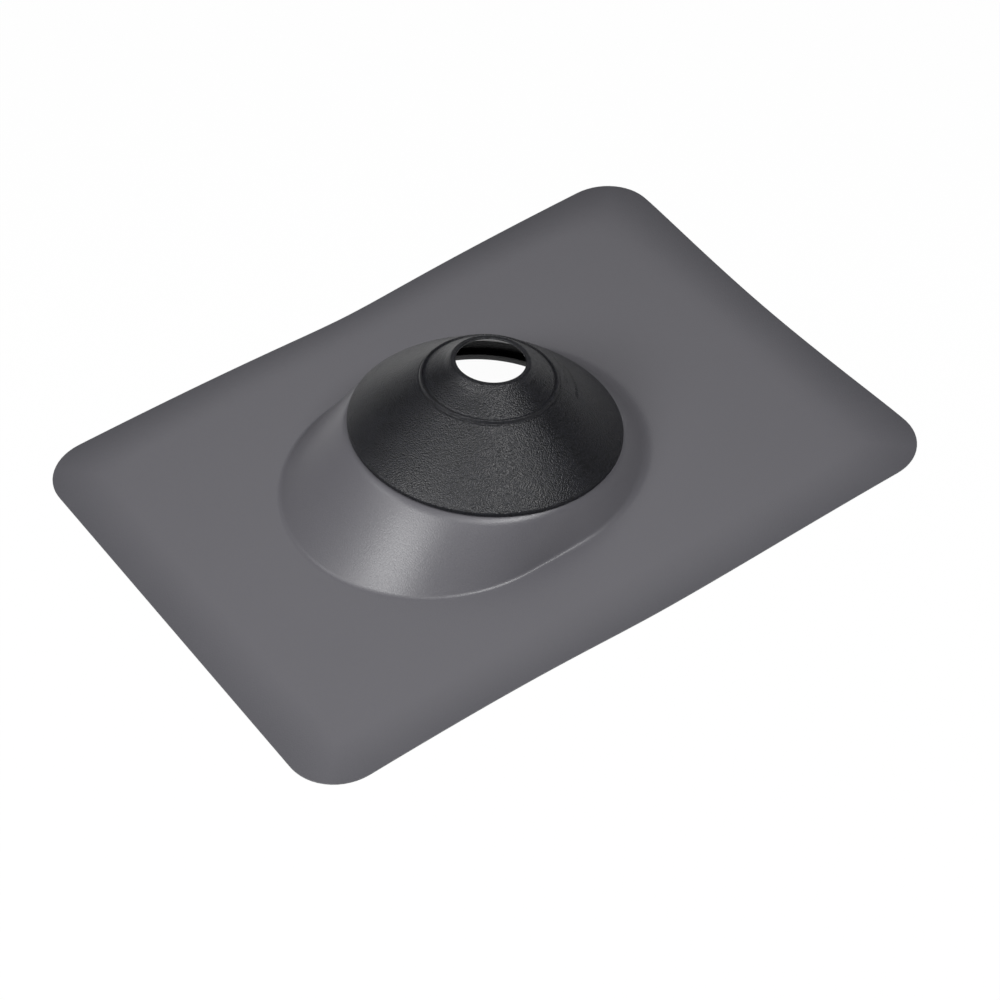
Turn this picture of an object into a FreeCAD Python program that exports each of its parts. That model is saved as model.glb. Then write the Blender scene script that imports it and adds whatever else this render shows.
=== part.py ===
# Pipe flashing boot: a thin formed roof flashing with a drawn, lopsided dome, and a moulded
# elastomer collar that grips the edge of the dome's opening.
# Millimetres, +Z up. The flat sheet's underside is z = 0, +X points up the roof slope and is
# the sheet's long way, +Y is the left side facing uphill, and the origin is the middle of
# the sheet's underside.
import FreeCAD, Part
import math
import os
import re

import Sketcher
from FreeCAD import Placement, Rotation, Vector

doc = FreeCAD.newDocument("pipe_flashing_boot")

# ---------------------------------------------------------------- driving dimensions
SIZES = [
    # the flat sheet
    ("sheetLength", 317.5, "12-1/2 in, up and down the slope"),
    ("sheetWidth", 235.0, "9-1/4 in, across the slope"),
    ("sheetGauge", 0.6, "24 gauge, coated"),
    ("cornerRadius", 22.8, "plan radius of the four corners"),
    ("leftDrawIn", 3.7, "left edge pulled in beside the dome"),
    ("leftStation", 2.0, "where along X the left edge is pulled in most"),
    ("leftReach", 49.0, "how far each way that pull fades out"),
    ("rightDrawIn", 1.2, "right edge pulled in, downhill of the dome's middle"),
    ("rightDrawStation", -47.0, "where along X that pull is"),
    ("rightSpread", 1.8, "right edge pushed out beside the dome"),
    ("rightSpreadStation", -9.0, "where along X that push starts"),
    ("rightReach", 94.0, "how far uphill the push fades out"),
    ("uphillDrawIn", 2.9, "uphill edge pulled in at its middle"),
    ("uphillReach", 80.0, "how far each way that pull fades out"),
    # the drawn dome
    ("footRadius", 67.7, "both ends of the dome's slot-shaped foot"),
    ("footDownhill", 24.4, "centre of the foot's downhill end, behind the origin"),
    ("footUphill", 4.4, "centre of the foot's uphill end, ahead of the origin"),
    ("footBend", 4.8, "upper bend radius between sheet and wall"),
    ("footBendUphill", 12.0, "the same bend at the low uphill end"),
    ("shoulderBend", 9.0, "upper bend radius between wall and seat"),
    ("seatAhead", 3.0, "seat centre ahead of the origin"),
    ("seatHeight", 18.8, "seat centre above the underside"),
    ("seatTilt", 9.0, "degrees that the seat leans uphill"),
    ("seatRadius", 59.8, "where the wall's line meets the seat"),
    ("openingRadius", 50.2, "hole in the seat"),
    # the collar, from the seat's plane along its own axis
    ("rimRadius", 59.8, "outer edge of the skirt"),
    ("rimDepth", 1.9, "upright edge of the skirt"),
    ("rimChamfer", 0.6, "broken upper edge of the skirt"),
    ("stepRadius", 29.3, "where the lower cone meets the upper cone"),
    ("stepHeight", 26.5, "the same step above the seat"),
    ("beadWidth", 1.5, "bead ring that stands on the step"),
    ("beadRise", 0.7, "top of the bead above the step"),
    ("grooveWidth", 1.2, "tear groove just inside the bead"),
    ("grooveDepth", 0.6, "depth of that groove"),
    ("lipRadius", 17.5, "outside of the top lip"),
    ("lipFoot", 34.7, "foot of the top lip above the seat"),
    ("lipTop", 36.2, "top of the lip above the seat"),
    ("lipChamfer", 0.8, "broken edges of the lip"),
    ("pipeRadius", 15.0, "pipe hole, relaxed"),
    ("pipeLand", 3.0, "straight pipe hole with its broken edge, down from the lip's top"),
    ("wallRise", 2.8, "cone wall, measured along the axis"),
    ("hubRadius", 51.5, "inside of the thick base ring"),
    ("ledgeTop", 1.1, "top of the inner ledge above the seat"),
    ("ledgeRadius", 48.0, "inside of the ledge and the gripping lip"),
    ("gripRadius", 53.0, "outside of the gripping lip under the seat"),
    ("gripDepth", 2.0, "underside of the gripping lip below the seat"),
    ("gripPlay", 0.05, "play between the groove and the metal edge"),
]

sheet = doc.addObject("Spreadsheet::Sheet", "sizes")
for row, (alias, value, note) in enumerate(SIZES, start=1):
    sheet.set("A%d" % row, alias)
    sheet.set("B%d" % row, str(value))
    sheet.set("C%d" % row, note)
    sheet.setAlias("B%d" % row, alias)
doc.recompute()


def size(alias):
    """The value in the cell of that name."""
    return float(sheet.get(alias))


def cells(expression):
    """An expression on size names, with each name led to its cell."""
    return re.sub(r"[a-z]\w+", lambda word: "sizes." + word.group(), expression)


def value_of(expression):
    """What such an expression comes to now."""
    return float(sheet.evalExpression(cells(expression)))


# ---------------------------------------------------------------- the flat sheet
def bowed_edge(start, end, *pulls):
    """A gently bowed edge from start to end, through the poles between them."""
    poles = [start, *pulls, end]
    curve = Part.BSplineCurve()
    curve.buildFromPolesMultsKnots(poles, [4, len(poles) - 4, 4], [0.0, 0.5, 1.0], False, 3)
    return curve.toShape()


def corner(centre_x, centre_y, radius, start_degrees):
    """A quarter of a circle, counter-clockwise from the angle given."""
    first, middle, last = (math.radians(start_degrees + turn) for turn in (0, 45, 90))
    points = [
        Vector(centre_x + radius * math.cos(a), centre_y + radius * math.sin(a), 0)
        for a in (first, middle, last)
    ]
    return Part.Arc(*points).toShape()


def sheet_outline():
    """The cut sheet's outline, with the long edges and the uphill edge out of straight."""
    x, y = size("sheetLength") / 2, size("sheetWidth") / 2
    r = size("cornerRadius")
    flat_x, flat_y = x - r, y - r
    # a pole in the middle of an edge moves the edge by half its own offset
    uphill = x - 2 * size("uphillDrawIn")
    left = y - 2 * size("leftDrawIn")
    right_in = -y + 2 * size("rightDrawIn")
    right_out = -y - 2 * size("rightSpread")
    left_at, left_reach = size("leftStation"), size("leftReach")
    spread_at = size("rightSpreadStation")
    uphill_edge = bowed_edge(
        Vector(x, -flat_y), Vector(x, flat_y),
        Vector(x, -size("uphillReach")), Vector(uphill, 0), Vector(x, size("uphillReach")),
    )
    left_edge = bowed_edge(
        Vector(flat_x, y), Vector(-flat_x, y),
        Vector(left_at + left_reach, y), Vector(left_at, left), Vector(left_at - left_reach, y),
    )
    downhill_edge = Part.LineSegment(Vector(-x, flat_y), Vector(-x, -flat_y)).toShape()
    right_edge = bowed_edge(
        Vector(-flat_x, -y), Vector(flat_x, -y),
        Vector(size("rightDrawStation"), right_in),
        Vector(spread_at, right_out),
        Vector(spread_at + size("rightReach"), -y),
    )
    return Part.Wire([
        uphill_edge, corner(flat_x, flat_y, r, 0),
        left_edge, corner(-flat_x, flat_y, r, 90),
        downhill_edge, corner(-flat_x, -flat_y, r, 180),
        right_edge, corner(flat_x, -flat_y, r, 270),
    ])


# ---------------------------------------------------------------- the drawn dome
STATIONS = 28        # places round the dome where its section is worked out
FOOT_STEPS = 4       # steps in the bend between sheet and wall
SHOULDER_STEPS = 3   # straight strips in the bend between wall and seat


def foot_place(share):
    """Point and outward direction on the slot-shaped foot, share of the way round."""
    radius = size("footRadius")
    ahead, behind = size("footUphill"), -size("footDownhill")
    straight = ahead - behind
    quarter = math.pi * radius / 2
    run = share * (4 * quarter + 2 * straight)
    if run < quarter:
        turn, x, slide = run / radius, ahead, 0
    elif run < quarter + straight:
        turn, x, slide = math.pi / 2, ahead, quarter - run
    elif run < 3 * quarter + straight:
        turn, x, slide = (run - straight) / radius, behind, 0
    elif run < 3 * quarter + 2 * straight:
        turn, x, slide = 3 * math.pi / 2, behind, run - 3 * quarter - straight
    else:
        turn, x, slide = (run - 2 * straight) / radius, ahead, 0
    out = Vector(math.cos(turn), math.sin(turn), 0)
    return Vector(x + slide, 0, 0) + out * radius, out


def seat_plane(inset):
    """Centre and normal of the seat, or of the plane that lies inset below it."""
    tilt = math.radians(size("seatTilt"))
    normal = Vector(math.sin(tilt), 0, math.cos(tilt))
    centre = Vector(size("seatAhead"), 0, size("seatHeight"))
    return centre - normal * inset, normal


def wall_section(share, inset):
    """One section of the dome, from the sheet up the wall to the seat.

    Returns the foot bend's points and the shoulder bend's points, for the skin that lies
    inset below the upper one.
    """
    gauge = size("sheetGauge")
    foot, out = foot_place(share)
    foot.z = gauge
    centre, normal = seat_plane(0)
    angle = 2 * math.pi * share
    across = Vector(0, 1, 0)
    along = across.cross(normal)
    top = centre + (along * math.cos(angle) + across * math.sin(angle)) * size("seatRadius")
    inward = Vector(top.x - foot.x, top.y - foot.y, 0)
    run, rise = inward.Length, top.z - foot.z
    inward.normalize()
    slope = math.atan2(rise, run)
    seat_slope = math.atan(-inward.x * normal.x / normal.z)

    # the bend at the foot is wider towards the low uphill end
    uphill_share = max(0.0, out.x) ** 2
    bend = size("footBend") + (size("footBendUphill") - size("footBend")) * uphill_share
    back = bend * math.tan(slope / 2)
    foot_bend = []
    for step in range(FOOT_STEPS + 1):
        a = slope * step / FOOT_STEPS
        u = -back + (bend + inset) * math.sin(a)
        z = bend - (bend + inset) * math.cos(a)
        foot_bend.append(foot + inward * u + Vector(0, 0, z))

    # the bend at the shoulder ends in the seat's plane
    bend = size("shoulderBend")
    back = bend * math.tan((slope - seat_slope) / 2)
    centre_u = run - back * math.cos(slope) + bend * math.sin(slope)
    centre_z = rise - back * math.sin(slope) - bend * math.cos(slope)
    shoulder_bend = []
    for step in range(SHOULDER_STEPS + 1):
        a = slope + (seat_slope - slope) * step / SHOULDER_STEPS
        u = centre_u - (bend - inset) * math.sin(a)
        z = centre_z + (bend - inset) * math.cos(a)
        shoulder_bend.append(foot + inward * u + Vector(0, 0, z))
    level, _ = seat_plane(inset)
    last = shoulder_bend[-1]
    last.z = level.z - (last.x - level.x) * normal.x / normal.z
    return foot_bend, shoulder_bend


def ring(points):
    """A smooth closed wire through the points."""
    curve = Part.BSplineCurve()
    curve.interpolate(Points=points, PeriodicFlag=True)
    return Part.Wire(curve.toShape())


def formed_side(inset):
    """Faces of the upper skin, or of the skin inset below it: sheet, dome and uncut seat."""
    sections = [wall_section(station / STATIONS, inset) for station in range(STATIONS)]
    foot_rings = [ring([feet[k] for feet, _ in sections]) for k in range(FOOT_STEPS + 1)]
    shoulder_rings = [ring([tops[k] for _, tops in sections]) for k in range(SHOULDER_STEPS + 1)]
    outline = sheet_outline().translated(Vector(0, 0, size("sheetGauge") - inset))
    flat = Part.makeFace([outline, foot_rings[0]], "Part::FaceMakerBullseye")
    bands = [
        Part.makeLoft(foot_rings, False, False),
        Part.makeLoft([foot_rings[-1], shoulder_rings[0]], False, True),
        Part.makeLoft(shoulder_rings, False, True),
    ]
    seat = Part.Face(shoulder_rings[-1])
    return flat.Faces + [face for band in bands for face in band.Faces] + [seat]


def formed_sheet():
    """The sheet with its dome drawn, in one gauge of metal, before the seat is cut open."""
    edge = sheet_outline().extrude(Vector(0, 0, size("sheetGauge")))
    shell = Part.makeShell(formed_side(0) + formed_side(size("sheetGauge")) + edge.Faces)
    shell.sewShape()
    solid = Part.makeSolid(shell)
    if solid.Volume < 0:
        solid.reverse()
    return solid


def flashing_base():
    """The flashing: the formed sheet, with the collar's opening cut square to the seat."""
    formed = doc.addObject("Part::Feature", "formed_sheet")
    formed.Shape = formed_sheet()
    opening = doc.addObject("Part::Cylinder", "seat_opening")
    opening.setExpression("Radius", cells("openingRadius"))
    opening.setExpression("Height", cells("seatHeight"))
    centre, normal = seat_plane(size("seatHeight") / 2)
    opening.Placement = Placement(centre, Rotation(Vector(0, 0, 1), normal))
    base = doc.addObject("Part::Cut", "flashing_base")
    base.Base, base.Tool = formed, opening
    return base


# ---------------------------------------------------------------- the moulded collar
NEAR = 0.01          # how close an edge lies to the place it is looked for at


def origin_feature(body, role):
    """One of the body's own origin planes or axes."""
    return [feature for feature in body.Origin.OriginFeatures if feature.Role == role][0]


def bound_profile(sketch, corners):
    """A closed outline in the sketch; each corner is a pair of expressions on the sizes."""
    guess = [Vector(value_of(across), value_of(up), 0) for across, up in corners]
    count = len(corners)
    for k in range(count):
        sketch.addGeometry(Part.LineSegment(guess[k], guess[(k + 1) % count]), False)
    for k in range(count):
        sketch.addConstraint(Sketcher.Constraint("Coincident", k, 2, (k + 1) % count, 1))
    for k, (across, up) in enumerate(corners):
        for kind, expression, value in (("DistanceX", across, guess[k].x), ("DistanceY", up, guess[k].y)):
            index = sketch.addConstraint(Sketcher.Constraint(kind, -1, 1, k, 1, value))
            sketch.setExpression("Constraints[%d]" % index, cells(expression))


def ring_edges(shape, radius, height):
    """Names of the round edges of that radius at that height."""
    found = []
    for k, edge in enumerate(shape.Edges, start=1):
        box = edge.BoundBox
        if abs(box.XMax - radius) < NEAR and abs(box.ZMax - height) < NEAR and box.ZLength < NEAR:
            found.append("Edge%d" % k)
    return found


def chamfered(body, name, edges, width):
    """A chamfer on rings of the body's last shape; each edge is a radius and a height."""
    last = body.Tip
    names = []
    for edge_radius, height in edges:
        names += ring_edges(last.Shape, value_of(edge_radius), value_of(height))
    chamfer = body.newObject("PartDesign::Chamfer", name)
    chamfer.Base = (last, names)
    chamfer.setExpression("Size", cells(width))
    doc.recompute()
    return chamfer


def line_height(radius, start, end):
    """Expression for the height at a radius on the line between two corners of the section."""
    (r1, h1), (r2, h2) = start, end
    return f"{h1} + (({r1}) - ({radius})) * ({h2} - {h1}) / ({r1} - {r2})"


def pipe_collar():
    """The moulded collar: skirt, gripping groove, thin cone, bead and pipe lip."""
    body = doc.addObject("PartDesign::Body", "pipe_collar")
    sketch = body.newObject("Sketcher::SketchObject", "collar_section")
    sketch.AttachmentSupport = [(origin_feature(body, "XZ_Plane"), "")]
    sketch.MapMode = "FlatFace"
    metal_edge = "openingRadius - gripPlay"
    metal_underside = "-sheetGauge - gripPlay"
    rim, step, lip = ("rimRadius", "rimDepth"), ("stepRadius", "stepHeight"), ("lipRadius", "lipFoot")
    bead_foot = "stepRadius + beadWidth / 2"
    groove_middle = "stepRadius - beadWidth / 2 - grooveWidth / 2"
    groove_end = "stepRadius - beadWidth / 2 - grooveWidth"
    bound_profile(sketch, [
        ("ledgeRadius", "-gripDepth"),
        ("gripRadius", "-gripDepth"),
        ("gripRadius", metal_underside),
        (metal_edge, metal_underside),
        (metal_edge, "0"),
        ("rimRadius", "0"),
        rim,
        (bead_foot, line_height(bead_foot, rim, step)),
        ("stepRadius + beadWidth / 5", "stepHeight + beadRise"),
        ("stepRadius - beadWidth / 5", "stepHeight + beadRise"),
        (groove_middle, line_height(groove_middle, step, lip) + " - grooveDepth"),
        (groove_end, line_height(groove_end, step, lip)),
        lip,
        ("lipRadius", "lipTop"),
        ("pipeRadius", "lipTop"),
        ("pipeRadius", "lipTop - pipeLand"),
        ("stepRadius", "stepHeight - wallRise"),
        ("hubRadius", line_height("hubRadius", rim, step) + " - wallRise"),
        ("hubRadius", "ledgeTop"),
        ("ledgeRadius", "ledgeTop"),
    ])
    revolution = body.newObject("PartDesign::Revolution", "collar_moulding")
    revolution.Profile = sketch
    revolution.ReferenceAxis = (sketch, ["V_Axis"])
    revolution.Angle = 360
    doc.recompute()
    chamfered(body, "lip_chamfer", [("lipRadius", "lipTop"), ("pipeRadius", "lipTop")], "lipChamfer")
    chamfered(body, "skirt_chamfer", [rim], "rimChamfer")
    body.setExpression("Placement.Base.x", cells("seatAhead"))
    body.setExpression("Placement.Base.z", cells("seatHeight"))
    body.Placement.Rotation = Rotation(Vector(0, 1, 0), size("seatTilt"))
    body.setExpression("Placement.Rotation.Angle", cells("seatTilt"))
    return body


# ---------------------------------------------------------------- build, check, write
pieces = [flashing_base(), pipe_collar()]
doc.recompute()

for item in doc.Objects:
    if "Invalid" in item.State or "Error" in item.State:
        raise RuntimeError("%s did not recompute: %s" % (item.Label, item.State))
for piece in pieces:
    shape = piece.Shape
    if shape.isNull() or not shape.isValid() or len(shape.Solids) != 1:
        raise RuntimeError("%s is not one valid solid" % piece.Label)

os.makedirs("parts", exist_ok=True)
for piece in pieces:
    piece.Shape.exportStep("parts/%s.step" % piece.Label)
    print("%s %.0f mm3" % (piece.Label, piece.Shape.Volume))
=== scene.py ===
import math
from bisect import bisect_right

import bpy
from mathutils import Euler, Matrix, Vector


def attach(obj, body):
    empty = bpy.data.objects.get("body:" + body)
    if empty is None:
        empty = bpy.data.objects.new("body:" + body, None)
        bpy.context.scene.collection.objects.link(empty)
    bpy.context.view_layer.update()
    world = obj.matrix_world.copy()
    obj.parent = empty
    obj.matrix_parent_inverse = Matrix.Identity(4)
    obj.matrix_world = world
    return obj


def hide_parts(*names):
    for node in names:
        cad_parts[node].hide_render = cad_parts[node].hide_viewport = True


# Looks of a pipe flashing boot: a formed, coated metal sheet and its moulded rubber collar.
# Metres, in the frame of the solids: +X up the roof slope, +Z off the roof.

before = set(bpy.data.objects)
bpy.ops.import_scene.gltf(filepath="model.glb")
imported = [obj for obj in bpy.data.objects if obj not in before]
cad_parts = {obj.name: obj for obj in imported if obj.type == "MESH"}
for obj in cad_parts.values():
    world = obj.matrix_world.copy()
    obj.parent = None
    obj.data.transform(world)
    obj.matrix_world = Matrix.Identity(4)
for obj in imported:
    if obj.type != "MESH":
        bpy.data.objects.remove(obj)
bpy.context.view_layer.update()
print("loaded", sorted(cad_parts))


# shader and geometry maths as plain expressions

class Val:
    # wraps a float socket, so that + - * / build Math nodes

    def __init__(self, tree, socket):
        self.tree, self.socket = tree, socket

    def math(self, operation, *others):
        return self.tree.add("Math", {"operation": operation}, self, *others).out()

    def __add__(self, other): return self.math("ADD", other)
    def __radd__(self, other): return self.math("ADD", other)
    def __mul__(self, other): return self.math("MULTIPLY", other)
    def __rmul__(self, other): return self.math("MULTIPLY", other)
    def __truediv__(self, other): return self.math("DIVIDE", other)
    def __pow__(self, other): return self.math("POWER", other)
    def __sub__(self, other): return self.math("SUBTRACT", other)

    def __rsub__(self, other):
        return self.tree.add("Math", {"operation": "SUBTRACT"}, other, self).out()

    def __rtruediv__(self, other):
        return self.tree.add("Math", {"operation": "DIVIDE"}, other, self).out()

    def clamped(self):
        return self.tree.add("Math", {"operation": "ADD", "use_clamp": True}, self, 0.0).out()


class Made:
    # one node that was added, with its sockets as values

    def __init__(self, tree, node):
        self.tree, self.node = tree, node

    def out(self, name=0):
        return Val(self.tree, self.node.outputs[name])


class Tree:
    # a node tree, written from top to bottom

    shared = ("Math", "VectorMath", "SeparateXYZ", "CombineXYZ", "TexNoise")

    def __init__(self, group, family):
        self.nodes, self.links, self.family = group.nodes, group.links, family
        self.nodes.clear()

    def add(self, kind, settings=None, *values, **named):
        family = self.family
        if kind in self.shared:
            family = "ShaderNode"
        elif kind.startswith("Group"):
            family = "Node"
        node = self.nodes.new(family + kind)
        # settings first, since they decide which sockets the node has
        for name, value in (settings or {}).items():
            setattr(node, name, value)
        for key, value in list(enumerate(values)) + list(named.items()):
            socket = node.inputs[key if isinstance(key, int) else key.replace("_", " ")]
            if isinstance(value, Val):
                self.links.new(value.socket, socket)
            elif value is not None:
                socket.default_value = value
        return Made(self, node)


def newMaterial(name):
    material = bpy.data.materials.new(name)
    material.use_nodes = True
    return material, Tree(material.node_tree, "ShaderNode")


def noise(tree, place, size, detail):
    return tree.add("TexNoise", None, Vector=place, Scale=1 / size, Detail=detail).out(0)


def blended(tree, share, low, high):
    # sockets 6 and 7 and output 2 are the colour ones of a Mix node
    unused = [None] * 5
    return tree.add("Mix", {"data_type": "RGBA"}, share, *unused, low, high).out(2)


# the coated metal of the flashing

coatedMetal = {
    "grey": (0.099, 0.097, 0.108, 1),
    # painted shade: the darker grey the coat takes along its cut edges
    "edgeShadeGrey": (0.075, 0.074, 0.083, 1),
    "edgeShadeReach": 0.022,        # how far in from the edges the coat is painted darker, as painted shade
    "specular": 0.5,
    "roughness": 0.36,
    "grainSize": 0.0006,
    "grainHeight": 0.00006,
    "mottleSize": 0.045,
    # how much each counts in the colour, then in the roughness
    "edgeShadeShare": 0.94, "mottleShare": 0.35, "grainShare": 0.4,
    "mottleGloss": 0.10, "grainGloss": 0.12,
}


def makeCoatedMetal(look):
    material, tree = newMaterial("coatedMetal")
    place = tree.add("TexCoord").out("Object")
    across = tree.add("SeparateXYZ", None, place)
    halfLength, halfWidth = flashing["length"] / 2, flashing["width"] / 2
    # painted shade: the coat is darkened towards its cut edges, by its distance in from the nearest edge
    fromEnds = halfLength - across.out("X").math("ABSOLUTE")
    fromSides = halfWidth - across.out("Y").math("ABSOLUTE")
    inward = (fromEnds.math("MINIMUM", fromSides) / look["edgeShadeReach"]).clamped()
    mottle = noise(tree, place, look["mottleSize"], 3.0)
    grain = noise(tree, place, look["grainSize"], 1.0)
    edgeShadeAndMottle = (inward * look["edgeShadeShare"] + (mottle - 0.5) * look["mottleShare"]
            + (grain - 0.5) * look["grainShare"]).clamped()
    shade = blended(tree, edgeShadeAndMottle, look["edgeShadeGrey"], look["grey"])
    worn = look["roughness"] + (mottle - 0.5) * look["mottleGloss"] + (grain - 0.5) * look["grainGloss"]
    bump = tree.add("Bump", None, Height=grain, Distance=look["grainHeight"], Strength=1.0).out(0)
    shader = tree.add("BsdfPrincipled", None, Base_Color=shade, Roughness=worn,
                      Specular_IOR_Level=look["specular"], Normal=bump)
    tree.add("OutputMaterial", None, shader.out())
    return material


# the formed sheet, drawn up into its lopsided dome

flashing = {
    "length": 0.3175, "width": 0.235, "gauge": 0.0006, "corner": 0.0228,
    # poles between the corners of each long side, from its start, counter-clockwise
    "uphillPoles": [(0.15875, -0.080), (0.15295, 0.0), (0.15875, 0.080)],
    "leftPoles": [(0.051, 0.1175), (0.002, 0.1101), (-0.047, 0.1175)],
    "rightPoles": [(-0.047, -0.1151), (-0.009, -0.12106), (0.085, -0.1175)],
    "footRadius": 0.0677, "footBack": -0.0244, "footFront": 0.0044,
    "footBend": 0.0048, "footBendUphill": 0.012,
    "seat": (0.003, 0.0, 0.0188), "tilt": 9.0, "seatRadius": 0.0598,
    "shoulderBend": 0.0090, "opening": 0.0502,
    "columns": 400, "flatRings": 7, "bendRings": 8, "wallRings": 5, "seatRings": 3,
    "flatCrowding": 2.5,         # gathers the flat rings towards the dome
    "cornerSteps": 24, "turnSteps": 2000,
    "edgeRounding": 0.00012, "edgeAngle": 60,
}


def bowed(start, poles, end, steps=40):
    # points along a clamped cubic with one knot in its middle
    control = [Vector(point) for point in (start, *poles, end)]
    knots = [0, 0, 0, 0, 0.5, 1, 1, 1, 1]
    points = []
    for step in range(steps):
        t = step / steps
        span = 3 if t < 0.5 else 4
        column = [control[k] for k in range(span - 3, span + 1)]
        for level in range(1, 4):
            for j in range(3, level - 1, -1):
                low = knots[j + span - 3]
                share = (t - low) / (knots[j + 1 + span - level] - low)
                column[j] = column[j - 1].lerp(column[j], share)
        points.append(column[3])
    return points


def cutOutline(look):
    # the cut edge, counter-clockwise from the middle of the uphill side
    x, y, r, steps = look["length"] / 2, look["width"] / 2, look["corner"], look["cornerSteps"]

    def corner(centreX, centreY, start):
        turns = [math.radians(start + 90 * step / steps) for step in range(steps)]
        return [Vector((centreX + r * math.cos(a), centreY + r * math.sin(a))) for a in turns]

    uphill = bowed((x, r - y), look["uphillPoles"], (x, y - r))
    half = len(uphill) // 2
    return (uphill[half:] + corner(x - r, y - r, 0)
            + bowed((x - r, y), look["leftPoles"], (r - x, y)) + corner(r - x, y - r, 90)
            + bowed((-x, y - r), [(-x, y / 2), (-x, 0), (-x, -y / 2)], (-x, r - y))
            + corner(r - x, r - y, 180)
            + bowed((r - x, -y), look["rightPoles"], (x - r, -y)) + corner(x - r, r - y, 270)
            + uphill[:half])


def evenly(points, count):
    # the closed line again, in count equal steps
    closed = points + points[:1]
    run = [0.0]
    for a, b in zip(closed, closed[1:]):
        run.append(run[-1] + (b - a).length)
    spaced = []
    for k in range(count):
        at = run[-1] * k / count
        i = min(bisect_right(run, at) - 1, len(points) - 1)
        spaced.append(closed[i].lerp(closed[i + 1], (at - run[i]) / (run[i + 1] - run[i])))
    return spaced


def footPlace(look, share):
    # point and outward direction on the slot-shaped foot, share of the way round
    radius, front, back = look["footRadius"], look["footFront"], look["footBack"]
    straight, quarter = front - back, math.pi * radius / 2
    run = share * (4 * quarter + 2 * straight)
    if run < quarter:
        turn, x = run / radius, front
    elif run < quarter + straight:
        turn, x = math.pi / 2, front + quarter - run
    elif run < 3 * quarter + straight:
        turn, x = (run - straight) / radius, back
    elif run < 3 * quarter + 2 * straight:
        turn, x = 3 * math.pi / 2, back + run - 3 * quarter - straight
    else:
        turn, x = (run - 2 * straight) / radius, front
    out = Vector((math.cos(turn), math.sin(turn), 0))
    return Vector((x, 0, 0)) + out * radius, out


def domeSection(look, share):
    # points from the start of the foot bend up to the edge of the opening
    tilt, steps = math.radians(look["tilt"]), look["bendRings"]
    normal = Vector((math.sin(tilt), 0, math.cos(tilt)))
    along, across = Vector((math.cos(tilt), 0, -math.sin(tilt))), Vector((0, 1, 0))
    foot, out = footPlace(look, share)
    foot.z = look["gauge"]
    angle = 2 * math.pi * share
    outward = along * math.cos(angle) + across * math.sin(angle)
    centre = Vector(look["seat"])
    top = centre + outward * look["seatRadius"]
    inward = Vector((top.x - foot.x, top.y - foot.y, 0))
    run, climb = inward.length, top.z - foot.z
    inward.normalize()
    slope = math.atan2(climb, run)
    seatSlope = math.atan(-inward.x * normal.x / normal.z)

    bend = look["footBend"] + (look["footBendUphill"] - look["footBend"]) * max(0.0, out.x) ** 2
    back = bend * math.tan(slope / 2)
    points = []
    for step in range(steps + 1):
        a = slope * step / steps
        rise = Vector((0, 0, bend - bend * math.cos(a)))
        points.append(foot + inward * (bend * math.sin(a) - back) + rise)
    bend = look["shoulderBend"]
    back = bend * math.tan((slope - seatSlope) / 2)
    centreU = run - back * math.cos(slope) + bend * math.sin(slope)
    centreZ = climb - back * math.sin(slope) - bend * math.cos(slope)
    shoulder = []
    for step in range(steps + 1):
        a = slope + (seatSlope - slope) * step / steps
        rise = Vector((0, 0, centreZ + bend * math.cos(a)))
        shoulder.append(foot + inward * (centreU - bend * math.sin(a)) + rise)
    for step in range(1, look["wallRings"]):
        points.append(points[steps].lerp(shoulder[0], step / look["wallRings"]))
    points += shoulder
    hole = centre + outward * look["opening"]
    for step in range(1, look["seatRings"] + 1):
        points.append(shoulder[-1].lerp(hole, step / look["seatRings"]))
    return points


def makeFlashing(look):
    columns = look["columns"]
    edge = evenly(cutOutline(look), columns)
    middle = (look["footFront"] + look["footBack"]) / 2
    whole = 2 * math.pi
    # which share of the foot lies in each direction from its middle
    shares = [k / look["turnSteps"] for k in range(look["turnSteps"] + 1)]
    turns = []
    for share in shares:
        point, _ = footPlace(look, share)
        inside = 0 < share < 1
        turns.append(math.atan2(point.y, point.x - middle) % whole if inside else whole * share)
    rings = []
    for rim in edge:
        turn = math.atan2(rim.y, rim.x - middle) % whole
        i = min(bisect_right(turns, turn) - 1, len(turns) - 2)
        share = shares[i] + (turn - turns[i]) / (turns[i + 1] - turns[i]) * (shares[i + 1] - shares[i])
        dome = domeSection(look, share)
        start = Vector((rim.x, rim.y, look["gauge"]))
        flat = []
        for step in range(look["flatRings"]):
            flat.append(start.lerp(dome[0], 1 - (1 - step / look["flatRings"]) ** look["flatCrowding"]))
        rings.append(flat + dome)
    rows = len(rings[0])
    faces = []
    for k in range(columns):
        after = (k + 1) % columns
        for j in range(rows - 1):
            faces.append((k * rows + j, after * rows + j, after * rows + j + 1, k * rows + j + 1))
    mesh = bpy.data.meshes.new("formedSheet")
    mesh.from_pydata([point for column in rings for point in column], [], faces)
    piece = bpy.data.objects.new("formedSheet", mesh)
    bpy.context.collection.objects.link(piece)
    wall = piece.modifiers.new("gauge", "SOLIDIFY")
    wall.thickness, wall.offset, wall.use_even_offset = look["gauge"], -1, True
    soft = piece.modifiers.new("cutEdges", "BEVEL")
    soft.width, soft.segments = look["edgeRounding"], 2
    soft.limit_method, soft.angle_limit = "ANGLE", math.radians(look["edgeAngle"])
    settle(piece, 50).materials.append(makeCoatedMetal(coatedMetal))
    return piece


def settle(piece, sharp):
    # the modifiers' result as the piece's own plain mesh, smooth but for its sharp edges
    finished = piece.evaluated_get(bpy.context.evaluated_depsgraph_get())
    shape = bpy.data.meshes.new_from_object(finished)
    piece.modifiers.clear()
    piece.data = shape
    shape.shade_smooth()
    shape.set_sharp_from_angle(angle=math.radians(sharp))
    return shape


sheetPiece = makeFlashing(flashing)
print("formed the sheet", len(sheetPiece.data.polygons), "faces")


# the moulded collar

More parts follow.
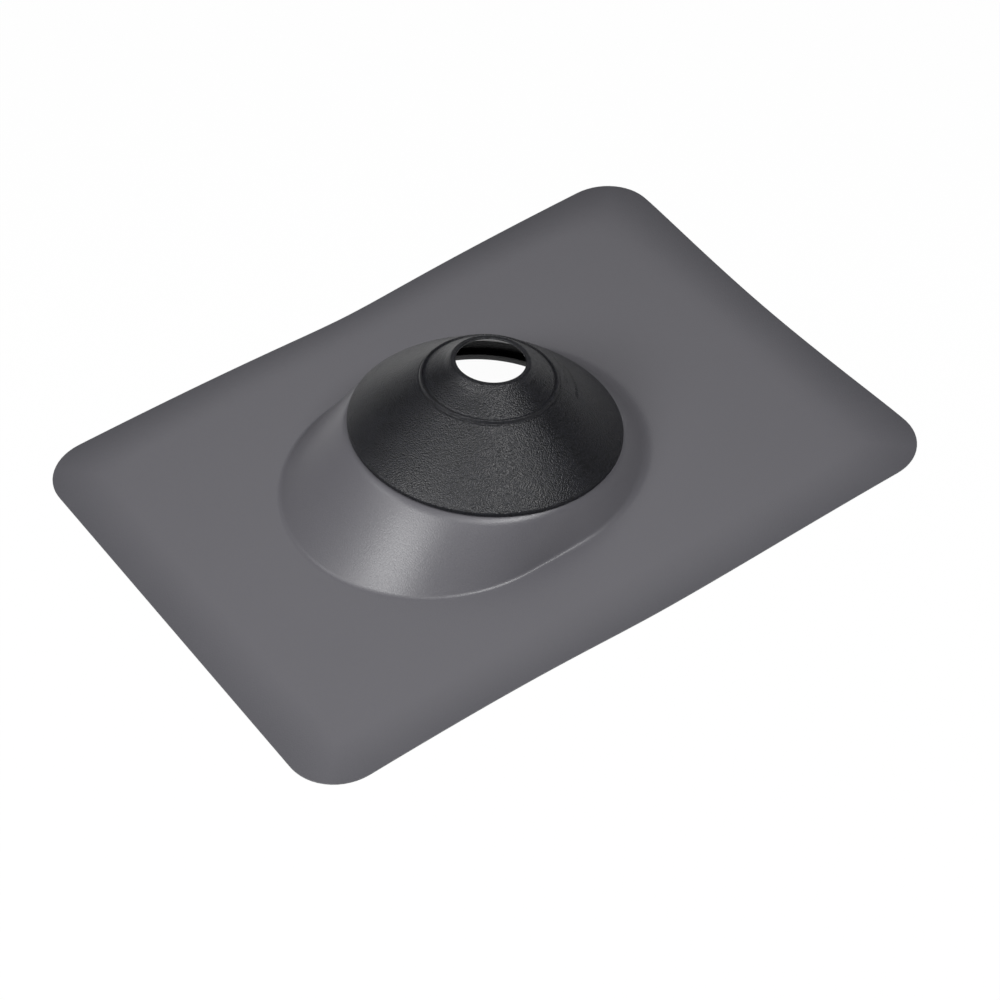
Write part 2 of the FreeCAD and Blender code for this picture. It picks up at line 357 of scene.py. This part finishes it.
rubber = {
    "black": (0.0012, 0.0013, 0.0022, 1),
    # the lighter colour, for dust and for the painted light on pebble tops
    "dustyAndLitTops": (0.0112, 0.0119, 0.0178, 1),
    "specular": 0.40,
    "roughness": 0.38,
    "grainSize": 0.00060,
    "grainHeight": 0.00017,
    "smoothness": 0.35,          # of the pebbles
    "fineSize": 0.0004, "fineShare": 0.10,
    # dusty patches and painted shade: a base and a cloud of dust, and the pebbles that stand above their
    # level painted lighter, so the hollows between them are painted darker
    "dustBase": 0.1, "cloudSize": 0.02, "cloudShare": 0.6, "cloudGloss": 0.12,
    "pebbleShadeLevel": 0.6, "pebbleShadeShare": 1.6,
}


def makeRubber(look):
    material, tree = newMaterial("blackRubber")
    place = tree.add("TexCoord").out("Object")
    cells = tree.add("TexVoronoi", {"feature": "SMOOTH_F1"}, Vector=place, Scale=1 / look["grainSize"],
                     Smoothness=look["smoothness"]).out("Distance")
    pebble = 1 - cells
    fine = noise(tree, place, look["fineSize"], 0.0)
    cloud = noise(tree, place, look["cloudSize"], 3.0)
    grain = pebble + fine * look["fineShare"]
    # dust in a cloud, and painted shade: pebble tops lighter, the hollows between pebbles darker
    dustAndPebbleShade = (cloud * look["cloudShare"] + look["dustBase"]
            + (pebble - look["pebbleShadeLevel"]) * look["pebbleShadeShare"]).clamped()
    shade = blended(tree, dustAndPebbleShade, look["black"], look["dustyAndLitTops"])
    bump = tree.add("Bump", None, Height=grain, Distance=look["grainHeight"], Strength=1.0).out(0)
    worn = look["roughness"] + (cloud - 0.5) * look["cloudGloss"]
    shader = tree.add("BsdfPrincipled", None, Base_Color=shade, Roughness=worn,
                      Specular_IOR_Level=look["specular"], Normal=bump)
    tree.add("OutputMaterial", None, shader.out())
    return material


collar = {
    "around": 448,               # faces round the collar
    "roundingSteps": 4,
    "coneRows": 54,
    "pathRadius": 0.040,         # the circle that the section runs along
    "rim": (0.0598, 0.0017), "rimRounding": 0.0011,
    "beadFoot": (0.0307, 0.02537),
    "bulge": 0.0014,             # how far the cone's lower part swells
    "bulgeReach": 0.008,
    # radius, height above the seat, rounding: under the cone, from the ledge out to the rim
    "below": [(0.0480, -0.0020, 0.0004), (0.0530, -0.0020, 0.0004), (0.0530, -0.00065, 0.0001),
              (0.05015, -0.00065, 0.0001), (0.05015, 0.0, 0.0001), (0.0598, 0.0, 0.0004)],
    # from the bead in over the lip and back down inside
    "above": [(0.03015, 0.02555, 0.0004), (0.02970, 0.02690, 0.0005), (0.02890, 0.02735, 0.0005),
              (0.02845, 0.02650, 0.0003), (0.0276, 0.02735, 0.0006), (0.0223, 0.03105, 0.0150),
              (0.0196, 0.03325, 0.0050), (0.0171, 0.0362, 0.0011), (0.0150, 0.0362, 0.00045),
              (0.0150, 0.0355, 0.0003), (0.0285, 0.0242, 0.0010), (0.0515, 0.00570, 0.0005),
              (0.0515, 0.0011, 0.0003), (0.0480, 0.0011, 0.0004)],
    # thin raised arcs: radius at the first angle, radius at the second, both angles, height, width
    "arcs": [(0.03350, 0.03690, -31.0, 9.0, 0.00045, 0.00045),
             (0.03840, 0.03790, -39.0, 9.0, 0.00050, 0.00045),
             (0.0480, 0.0483, -121.0, -91.0, 0.00016, 0.00050),
             (0.0514, 0.0502, -116.0, -100.0, 0.00014, 0.00050)],
    "arcFade": 5,                # degrees over which an arc fades at its ends
    "waveSize": 0.016, "waveHeight": 0.00018,
}


def collarSection(look):
    # corners of the half section: radius, height, rounding and whether it faces outwards
    (rimRadius, rimHeight), (beadRadius, beadHeight) = look["rim"], look["beadFoot"]
    corners = [(*corner, 0.0) for corner in look["below"]]
    corners.append((rimRadius, rimHeight, look["rimRounding"], 0.0))
    rows = look["coneRows"]
    for row in range(2, rows + 1):
        share = row / rows
        run = share * (rimRadius - beadRadius)
        swell = look["bulge"] * (1 - math.exp(-run / look["bulgeReach"])) * (1 - share)
        corners.append((rimRadius - run, rimHeight + share * (beadHeight - rimHeight) + swell, 0.0, 1.0))
    return corners + [(*corner, 0.0) for corner in look["above"]]


def raisedArc(radius, turn, arc, fade):
    # a thin ridge on the cone that fades out at both its ends
    first, last, start, end, height, width = arc
    middle = first + (turn - math.radians(start)) * ((last - first) / math.radians(end - start))
    off = (radius - middle) / width
    ridge = (off * off * -1).math("EXPONENT") * height
    begins = ((turn - math.radians(start)) / math.radians(fade)).clamped()
    return ridge * begins * ((math.radians(end) - turn) / math.radians(fade)).clamped()


def makeCollarTree(look):
    group = bpy.data.node_groups.new("collarMoulding", "GeometryNodeTree")
    face = group.interface
    face.new_socket("Geometry", in_out="INPUT", socket_type="NodeSocketGeometry")
    sockets = {}
    for name, kind in (("Around", "Int"), ("Rounding steps", "Int"), ("Seat", "Vector"),
                       ("Tilt", "Float"), ("Path radius", "Float"), ("Wave size", "Float"),
                       ("Wave height", "Float"), ("Finish", "Material")):
        socket = face.new_socket(name, in_out="INPUT", socket_type="NodeSocket" + kind)
        sockets[name] = socket.identifier
    face.new_socket("Geometry", in_out="OUTPUT", socket_type="NodeSocketGeometry")
    tree = Tree(group, "GeometryNode")
    given = tree.add("GroupInput")
    section = tree.add("MeshToCurve", None, given.out("Geometry")).out()
    rounding = tree.add("InputNamedAttribute", {"data_type": "FLOAT"}, "rounding").out("Attribute")
    rounded = tree.add("FilletCurve", {"mode": "POLY"}, section, given.out("Rounding steps"),
                       rounding, True).out()
    path = tree.add("CurvePrimitiveCircle", None, Resolution=given.out("Around"),
                    Radius=given.out("Path radius")).out()
    inward = tree.add("CurveToMesh", None, Curve=path, Profile_Curve=rounded).out()
    turned = tree.add("FlipFaces", None, inward).out()
    # relief on the outside, along the normal
    place = tree.add("InputPosition").out()
    axes = tree.add("SeparateXYZ", None, place)
    x, y = axes.out("X"), axes.out("Y")
    radius, turn = (x * x + y * y) ** 0.5, y.math("ARCTAN2", x)
    outside = tree.add("InputNamedAttribute", {"data_type": "FLOAT"}, "outside").out("Attribute")
    wave = noise(tree, place, given.out("Wave size"), 1.0)
    relief = (wave - 0.5) * given.out("Wave height")
    for arc in look["arcs"]:
        relief = relief + raisedArc(radius, turn, arc, look["arcFade"])
    normal = tree.add("InputNormal").out()
    lift = tree.add("VectorMath", {"operation": "SCALE"}, normal, Scale=relief * outside).out()
    shaped = tree.add("SetPosition", None, turned, Offset=lift).out()
    lean = tree.add("CombineXYZ", None, 0.0, given.out("Tilt"), 0.0).out()
    placed = tree.add("Transform", None, shaped, given.out("Seat"), lean).out()
    smooth = tree.add("SetShadeSmooth", None, placed).out()
    real = tree.add("RealizeInstances", None, smooth).out()
    done = tree.add("SetMaterial", None, real, Material=given.out("Finish")).out()
    tree.add("GroupOutput", None, done)
    return group, sockets


def makeCollar(look):
    corners = collarSection(look)
    mesh = bpy.data.meshes.new("collarMoulding")
    count = len(corners)
    mesh.from_pydata([(r - look["pathRadius"], -h, 0) for r, h, _, _ in corners],
                     [(k, (k + 1) % count) for k in range(count)], [])
    for name, column in (("rounding", 2), ("outside", 3)):
        layer = mesh.attributes.new(name, "FLOAT", "POINT")
        layer.data.foreach_set("value", [corner[column] for corner in corners])
    piece = bpy.data.objects.new("collarMoulding", mesh)
    bpy.context.collection.objects.link(piece)
    group, sockets = makeCollarTree(look)
    turned = piece.modifiers.new("moulding", "NODES")
    turned.node_group = group
    for name, value in (("Around", look["around"]), ("Rounding steps", look["roundingSteps"]),
                        ("Seat", flashing["seat"]), ("Tilt", math.radians(flashing["tilt"])),
                        ("Path radius", look["pathRadius"]), ("Wave size", look["waveSize"]),
                        ("Wave height", look["waveHeight"]), ("Finish", makeRubber(rubber))):
        turned[sockets[name]] = value
    settle(piece, 60)
    return piece


collarPiece = makeCollar(collar)
print("moulded the collar", len(collarPiece.data.polygons), "faces")

for piece, node, slot in ((sheetPiece, "flashing_base", "coated_metal"),
                          (collarPiece, "pipe_collar", "black_rubber")):
    piece.data.validate()
    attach(piece, "root")
    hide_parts(node)
    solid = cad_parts[node].data
    solid.materials.clear()
    solid.materials.append(piece.data.materials[0])
print("set the pieces on the frame")


# floor, background, lights and camera

studio = {
    "floorSize": 12.0,
    "floorShade": (0.8, 0.8, 0.8, 1),
    "white": (1, 1, 1, 1),
    "floorGlow": 0.97,
    "skyStrength": 0.100,
    "lamps": [
        # name, azimuth, elevation, distance, width, height, watts
        ("leftSoftbox", 150, 50, 1.1, 0.4, 0.24, 1.84),
        ("fillSoftbox", -143, 66, 1.1, 0.32, 0.18, 0.72),
        ("frontSoftbox", -96, 59, 1.1, 0.34, 0.14, 3.50),
        ("glintSoftbox", -70, 52, 1.1, 0.19, 0.3, 4.09),
        ("mirrorSoftbox", 59, 50, 1.2, 0.8, 0.8, 1.60),
        ("lowleftSoftbox", -170, 40, 1.2, 0.5, 0.3, 7.99),
    ],
}


def makeFloor(look):
    bpy.ops.mesh.primitive_plane_add(size=look["floorSize"])
    floor = bpy.context.object
    floor.name = "studioFloor"
    material, tree = newMaterial("studioFloor")
    ray = tree.add("LightPath")
    # white where the camera, gloss or glass sees it, plain for light
    seen = (ray.out("Is Camera Ray") + ray.out("Is Glossy Ray")
            + ray.out("Is Transmission Ray")).clamped()
    glow = tree.add("Emission", None, Color=look["white"], Strength=1.0).out()
    matte = tree.add("BsdfDiffuse", None, Color=look["floorShade"]).out()
    shown = tree.add("MixShader", None, seen * look["floorGlow"], matte, glow).out()
    tree.add("OutputMaterial", None, shown)
    floor.data.materials.append(material)


def makeSky(look):
    world = bpy.data.worlds.new("studioSky")
    bpy.context.scene.world = world
    world.use_nodes = True
    tree = Tree(world.node_tree, "ShaderNode")
    sky = tree.add("Background", None, Color=look["white"], Strength=look["skyStrength"])
    tree.add("OutputWorld", None, sky.out())


def makeLamps(look):
    for name, azimuth, elevation, distance, width, height, watts in look["lamps"]:
        turn, rise = math.radians(azimuth), math.radians(elevation)
        away = Vector((math.cos(turn) * math.cos(rise), math.sin(turn) * math.cos(rise),
                       math.sin(rise)))
        lamp = bpy.data.lights.new(name, "AREA")
        lamp.shape, lamp.energy = "RECTANGLE", watts
        lamp.size, lamp.size_y = width, height
        lampObject = bpy.data.objects.new(name, lamp)
        lampObject.location = away * distance
        lampObject.rotation_euler = away.to_track_quat("Z", "Y").to_euler()
        bpy.context.collection.objects.link(lampObject)


camera = {
    "place": (-0.490718, -0.817572, 0.961339),
    "turn": (43.88476, 3.37529, -34.84592),
    "lens": 111.9266, "clipEnd": 20,
}


def makeCamera(look):
    lens = bpy.data.cameras.new("boothCamera")
    lens.lens = look["lens"]
    lens.clip_end = look["clipEnd"]
    eye = bpy.data.objects.new("boothCamera", lens)
    eye.location = look["place"]
    eye.rotation_euler = Euler([math.radians(angle) for angle in look["turn"]])
    bpy.context.collection.objects.link(eye)
    bpy.context.scene.camera = eye


makeFloor(studio)
makeSky(studio)
makeLamps(studio)
makeCamera(camera)
bpy.context.scene.view_settings.view_transform = "Standard"
print("set the studio")
